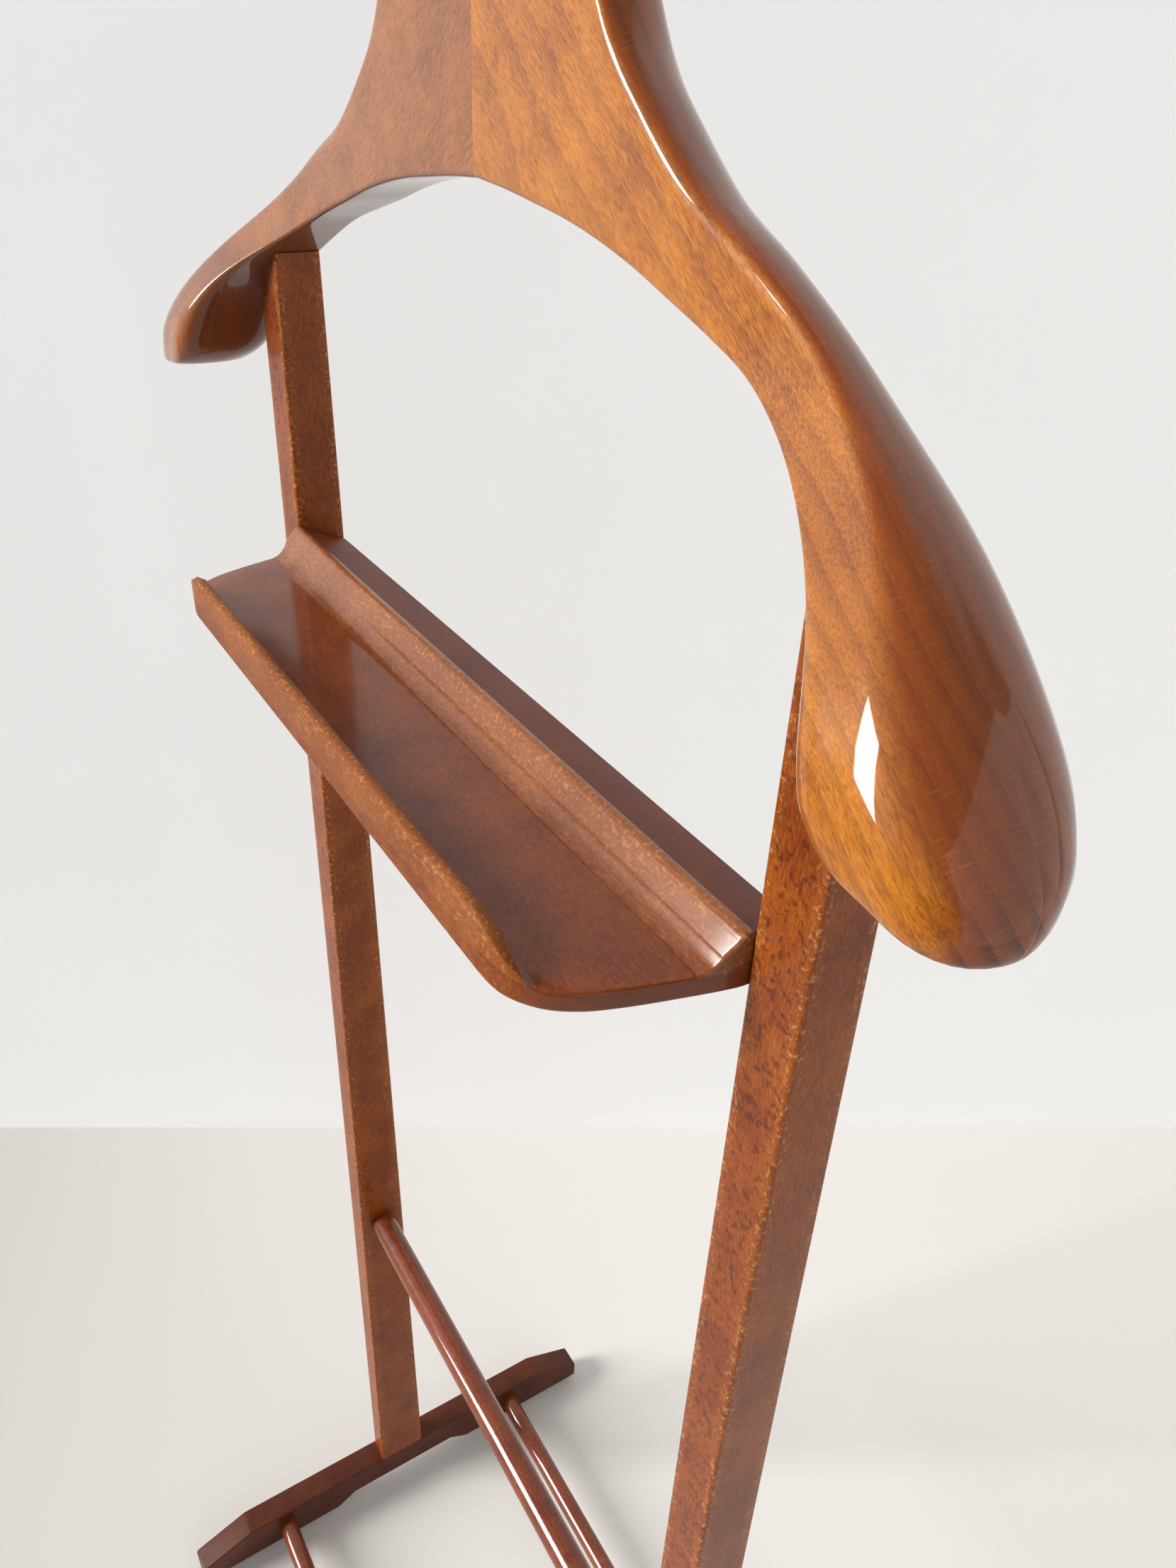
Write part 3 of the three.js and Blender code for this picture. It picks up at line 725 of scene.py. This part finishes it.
LIP_END = TRAY_FRONT + LIP_BACK
LIP_FACE = TRAY_FRONT + 5
STRIP_START = -9.5
floor_rows = [(y, TRAY_FLOOR) for y in np.linspace(LIP_END, COVE_Y - 1, 30)]
section_rows = np.array(sorted([*map(tuple, tray_top), *floor_rows]))
rings, worn = [], []
for y, height in section_rows:
    low = tray_underside(y)
    half = float(np.interp(y, tray_plan[:, 1], tray_plan[:, 0]))
    ease = min(SAWN_EASE, 0.48 * (height - low))
    outline = rounded_section(half, (height - low) / 2, [ease] * 4, 7, 30)
    z = (height + low) / 2 + outline[:, 1]
    if y < LIP_END:
        above = np.maximum(z - TRAY_FLOOR, 0)
        z -= above * LIP_END_DROP * smooth_step(abs(outline[:, 0]), LIP_FULL_HALF, LIP_GONE_HALF)
    rings.append(np.c_[outline[:, 0], np.full(len(outline), y), z + TRAY_BOTTOM] * MM)
    rubbed = rub(y, TRAY_FRONT + 2, 3.5) + rub(y, CREST_Y - 1.9, 6.0)
    worn.extend(rubbed * (outline[:, 1] > 0))
vertices, faces = skin(rings)
piece = mesh_piece("coved_tray", vertices, faces, tray_beech, ["tray"], sharp=50)
set_worn(piece, worn)
for finish in (tray_lip_beech, tray_cove_beech, tray_back_beech):
    piece.data.materials.append(finish)
ON_LIP, ON_COVE, ON_STRIP = 1, 2, 3
for polygon in piece.data.polygons:
    y, z = polygon.center.y / MM, polygon.center.z / MM - TRAY_BOTTOM
    if y < LIP_FACE:
        polygon.material_index = ON_LIP
    elif COVE_Y + 2 < y < STRIP_START and z > TRAY_FLOOR:
        polygon.material_index = ON_COVE
    elif y > STRIP_START:
        polygon.material_index = ON_STRIP
print(piece.name, len(vertices), "vertices")

# %% [markdown]
# ## Bar and stretchers
# Three dowel rods, turned smooth. Seen close, a turned rod needs enough sides that its outline
# stays round, so these have far more than the CAD solids.

# %% Rods
ROD_SIDES = 72
TENON_RADIUS, TENON_LENGTH, TENON_TIP_RADIUS = 4.4, 8, 4
BAR_RADIUS, BAR_Z = 8.1, 330
STRETCHER_RADIUS, STRETCHER_REACH, STRETCHER_Z = 6.8, 100, 22


def rod_piece(name, radius, y, z, node):
    """A rod across the stand with a turned tenon at each end, in place of one CAD rod."""
    tip = INNER_HALF + TENON_LENGTH
    straight = [(x, radius) for x in np.linspace(1 - INNER_HALF, INNER_HALF - 1, 40)]
    right_end = [(INNER_HALF, radius), (INNER_HALF, TENON_RADIUS)]
    right_end += [(tip, TENON_RADIUS), (tip, TENON_TIP_RADIUS)]
    left_end = [(-x, r) for x, r in reversed(right_end)]
    angles = np.linspace(0, 2 * math.pi, ROD_SIDES, endpoint=False)
    rings = []
    for x, r in left_end + straight + right_end:
        across = (y + r * np.cos(angles), z + r * np.sin(angles))
        rings.append(np.c_[np.full(ROD_SIDES, x), across[0], across[1]] * MM)
    vertices, faces = skin(rings)
    return mesh_piece(name, vertices, faces, bar_beech, [node])


rod_piece("turned_trouser_bar", BAR_RADIUS, 0, BAR_Z, "trouser_bar")
for name, y in (("front", -STRETCHER_REACH), ("rear", STRETCHER_REACH)):
    rod_piece(f"turned_stretcher_{name}", STRETCHER_RADIUS, y, STRETCHER_Z, f"stretcher_{name}")
print("rods made")

# %% [markdown]
# ## Foot rails
# Each rail is a flat stick on edge, its top sawn down towards the ends and its underside raised
# in the middle so that it stands on two long pads. The saw cuts are eased by hand, which a
# bevel all round gives.

# %% Rails
RAIL_THICKNESS = 18.5
RAIL_EASE = 1.3
RAIL_HALF_OUTLINE = [
    # distance from the middle, height: under the raised middle, along the pad, up the end
    (43, 14),
    (58, 5),
    (168, 5),
    (168, 20.5),
    (128, RAIL_TOP),
]
rail_outline = RAIL_HALF_OUTLINE + [(-y, z) for y, z in reversed(RAIL_HALF_OUTLINE)]
for name, side in (("left", -1), ("right", 1)):
    inner, outer = side * INNER_HALF * MM, side * (INNER_HALF + RAIL_THICKNESS) * MM
    count = len(rail_outline)
    vertices = [(inner, y * MM, z * MM) for y, z in rail_outline]
    vertices += [(outer, y * MM, z * MM) for y, z in rail_outline]
    faces = [tuple(range(count)), tuple(range(2 * count - 1, count - 1, -1))]
    faces += [(i, (i + 1) % count, (i + 1) % count + count, i + count) for i in range(count)]
    replaced = [f"foot_rail_{name}"]
    piece = mesh_piece(f"sled_rail_{name}", vertices, faces, rail_beech, replaced)
    ease = piece.modifiers.new("eased_edges", "BEVEL")
    ease.width = RAIL_EASE * MM
    ease.segments = 4
    ease.limit_method = "ANGLE"
    ease.angle_limit = math.radians(15)
    print(piece.name, "eased", RAIL_EASE, "mm")

# %% [markdown]
# ## Hidden dowels, glides and nails
# The dowels are plain unfinished beech, the nails are steel and the glides are black moulded
# plastic. They keep their CAD shapes.

# %% Small parts
def raw_beech():
    """Unfinished beech, pale and matte."""
    material, tree = new_material("beech_unfinished")
    where = add_node(tree, "ShaderNodeTexCoord").outputs["Object"]
    grain = add_node(tree, "ShaderNodeTexNoise", {"Scale": 900.0, "Detail": 3.0}, {"Vector": where})
    ramp = add_node(tree, "ShaderNodeValToRGB", {}, {"Fac": grain.outputs["Fac"]})
    ramp.color_ramp.elements[0].color = linear("c39a6c")
    ramp.color_ramp.elements[1].color = linear("e2c497")
    shader = add_node(
        tree, "ShaderNodeBsdfPrincipled", {"Roughness": 0.7}, {"Base Color": ramp.outputs["Color"]}
    )
    add_node(tree, "ShaderNodeOutputMaterial", {}, {"Surface": shader.outputs[0]})
    return material


def moulded_plastic():
    """Black plastic with the fine grit of its mould."""
    material, tree = new_material("nylon_glide")
    where = add_node(tree, "ShaderNodeTexCoord").outputs["Object"]
    grit = add_node(tree, "ShaderNodeTexNoise", {"Scale": 2500.0, "Detail": 2.0}, {"Vector": where})
    bump = add_node(
        tree, "ShaderNodeBump", {"Strength": 0.2, "Distance": 0.0001}, {"Height": grit.outputs["Fac"]}
    )
    shader = add_node(
        tree,
        "ShaderNodeBsdfPrincipled",
        {"Base Color": linear("1c1a19"), "Roughness": 0.5},
        {"Normal": bump.outputs["Normal"]},
    )
    add_node(tree, "ShaderNodeOutputMaterial", {}, {"Surface": shader.outputs[0]})
    return material


def nail_steel():
    """Drawn steel, unevenly polished."""
    material, tree = new_material("bright_steel")
    where = add_node(tree, "ShaderNodeTexCoord").outputs["Object"]
    drawn = add_node(tree, "ShaderNodeTexNoise", {"Scale": 1200.0}, {"Vector": where})
    rough = add_node(
        tree, "ShaderNodeMapRange", {"To Min": 0.25, "To Max": 0.45}, {"Value": drawn.outputs["Fac"]}
    )
    shader = add_node(
        tree,
        "ShaderNodeBsdfPrincipled",
        {"Base Color": linear("c3c5c8"), "Metallic": 1.0},
        {"Roughness": rough.outputs[0]},
    )
    add_node(tree, "ShaderNodeOutputMaterial", {}, {"Surface": shader.outputs[0]})
    return material


small_finishes = {"dowel": raw_beech(), "nail": nail_steel(), "glide": moulded_plastic()}
for node_name, node in nodes.items():
    for word, material in small_finishes.items():
        if word in node_name:
            node.data.materials.clear()
            node.data.materials.append(material)
            break
print("small finishes:", len(small_finishes))

# %% [markdown]
# ## Room and light
# A pale floor and a pale wall stand in for a bright room. A tall window, far off at the front
# left, gives the long white line down the hanger's shoulder and lights the front faces. A wide
# and much weaker light stands for the bright side of the room at the right. The floor and the
# wall are painted darker towards the left: painted shade for the room's light falling off.

# %% Floor and wall
def matte_paint(name, colour, glow, painted_shade_span=None):
    """Rolled paint, lit a little from within. Given a span, painted shade darkens it from one plane to
    another.
    """
    material, tree = new_material(name)
    where = add_node(tree, "ShaderNodeTexCoord").outputs["Object"]
    roll = {"To Min": 0.0, "To Max": 0.06}
    noise = add_node(tree, "ShaderNodeTexNoise", {"Scale": 6.0, "Detail": 4.0}, {"Vector": where})
    roll = add_node(tree, "ShaderNodeMapRange", roll, {"Value": noise.outputs["Fac"]})
    mixed = {"data_type": "RGBA", 6: linear(colour), 7: linear("b8b4ae")}
    mixed = add_node(tree, "ShaderNodeMix", mixed, {0: roll.outputs[0]}).outputs[2]
    if painted_shade_span:
        along, full, gone = painted_shade_span
        dot = {"operation": "DOT_PRODUCT", 1: along}
        dot = add_node(tree, "ShaderNodeVectorMath", dot, {0: where}).outputs["Value"]
        shade = {"interpolation_type": "SMOOTHSTEP", "From Min": full, "From Max": gone}
        shade = add_node(tree, "ShaderNodeMapRange", shade, {"Value": dot}).outputs[0]
        # Painted shade: the paint is darkened across the span, standing in for the room's light
        # falling off.
        mixed = lay_over(tree, mixed, shade, 1.0, "3c3a38")
    shader = {"Roughness": 0.6, "Specular IOR Level": 0.1, "Emission Strength": glow}
    links = {"Base Color": mixed, "Emission Color": mixed}
    shader = add_node(tree, "ShaderNodeBsdfPrincipled", shader, links)
    add_node(tree, "ShaderNodeOutputMaterial", {}, {"Surface": shader.outputs[0]})
    return material


def stage_sheet(name, corners, material):
    """One flat sheet of the room."""
    mesh = bpy.data.meshes.new(name)
    mesh.from_pydata([tuple(corner) for corner in corners], [], [(0, 1, 2, 3)])
    mesh.materials.append(material)
    sheet = bpy.data.objects.new(name, mesh)
    bpy.context.scene.collection.objects.link(sheet)
    return sheet


WALL_FOOT = Vector((-0.735, -0.229, 0))
WALL_ALONG = Vector((0.4975, 0.8675, 0))
WALL_TALL = Vector((0, 0, 5))
REACH = 9
foot_along = WALL_FOOT.dot(WALL_ALONG)
# Painted shade on the floor and the wall, darker towards the left.
floor_painted_shade = (WALL_ALONG, foot_along + 0.9, foot_along - 1.5)
wall_painted_shade = (WALL_ALONG, foot_along - 0.35, foot_along - 1.6)
floor_paint = matte_paint("pale_floor", "dedad5", 0.06, floor_painted_shade)
wall_paint = matte_paint("pale_wall", "f2f2f1", 0.09, wall_painted_shade)
near, far = WALL_FOOT - REACH * WALL_ALONG, WALL_FOOT + REACH * WALL_ALONG
floor_corners = [(x * REACH, y * REACH, 0) for x, y in ((-1, -1), (1, -1), (1, 1), (-1, 1))]
stage_sheet("floor", floor_corners, floor_paint)
stage_sheet("wall", [near, far, far + WALL_TALL, near + WALL_TALL], wall_paint)
print("wall and floor reach", REACH, "m")

# %% [markdown]
# The room itself gives an even, weak light. The window is large and far off, so its reflection in
# the lacquer has a crisp edge.

# %% Lights
world = bpy.data.worlds.new("room")
world.use_nodes = True
bpy.context.scene.world = world
background = world.node_tree.nodes["Background"]
background.inputs["Color"].default_value = linear("f3f3f5")
background.inputs["Strength"].default_value = 0.28


def softbox(name, place, aim, width, height, watts):
    """A rectangular area light that looks at `aim`."""
    light_data = bpy.data.lights.new(name, "AREA")
    light_data.shape = "RECTANGLE"
    light_data.size, light_data.size_y = width, height
    light_data.energy = watts
    light = bpy.data.objects.new(name, light_data)
    light.location = place
    light.rotation_euler = (Vector(aim) - Vector(place)).to_track_quat("-Z", "Y").to_euler()
    bpy.context.scene.collection.objects.link(light)
    return light


softbox("window", (-2.5, -6.1, 3.3), (0, 0, 0.95), 2.2, 3.8, 760)
softbox("bright_side", (2.6, 1.0, 1.5), (0.2, 0.5, 1.0), 6.0, 3.6, 46)
bpy.context.scene.view_settings.view_transform = "Standard"

print("lights:", len(bpy.data.lights))
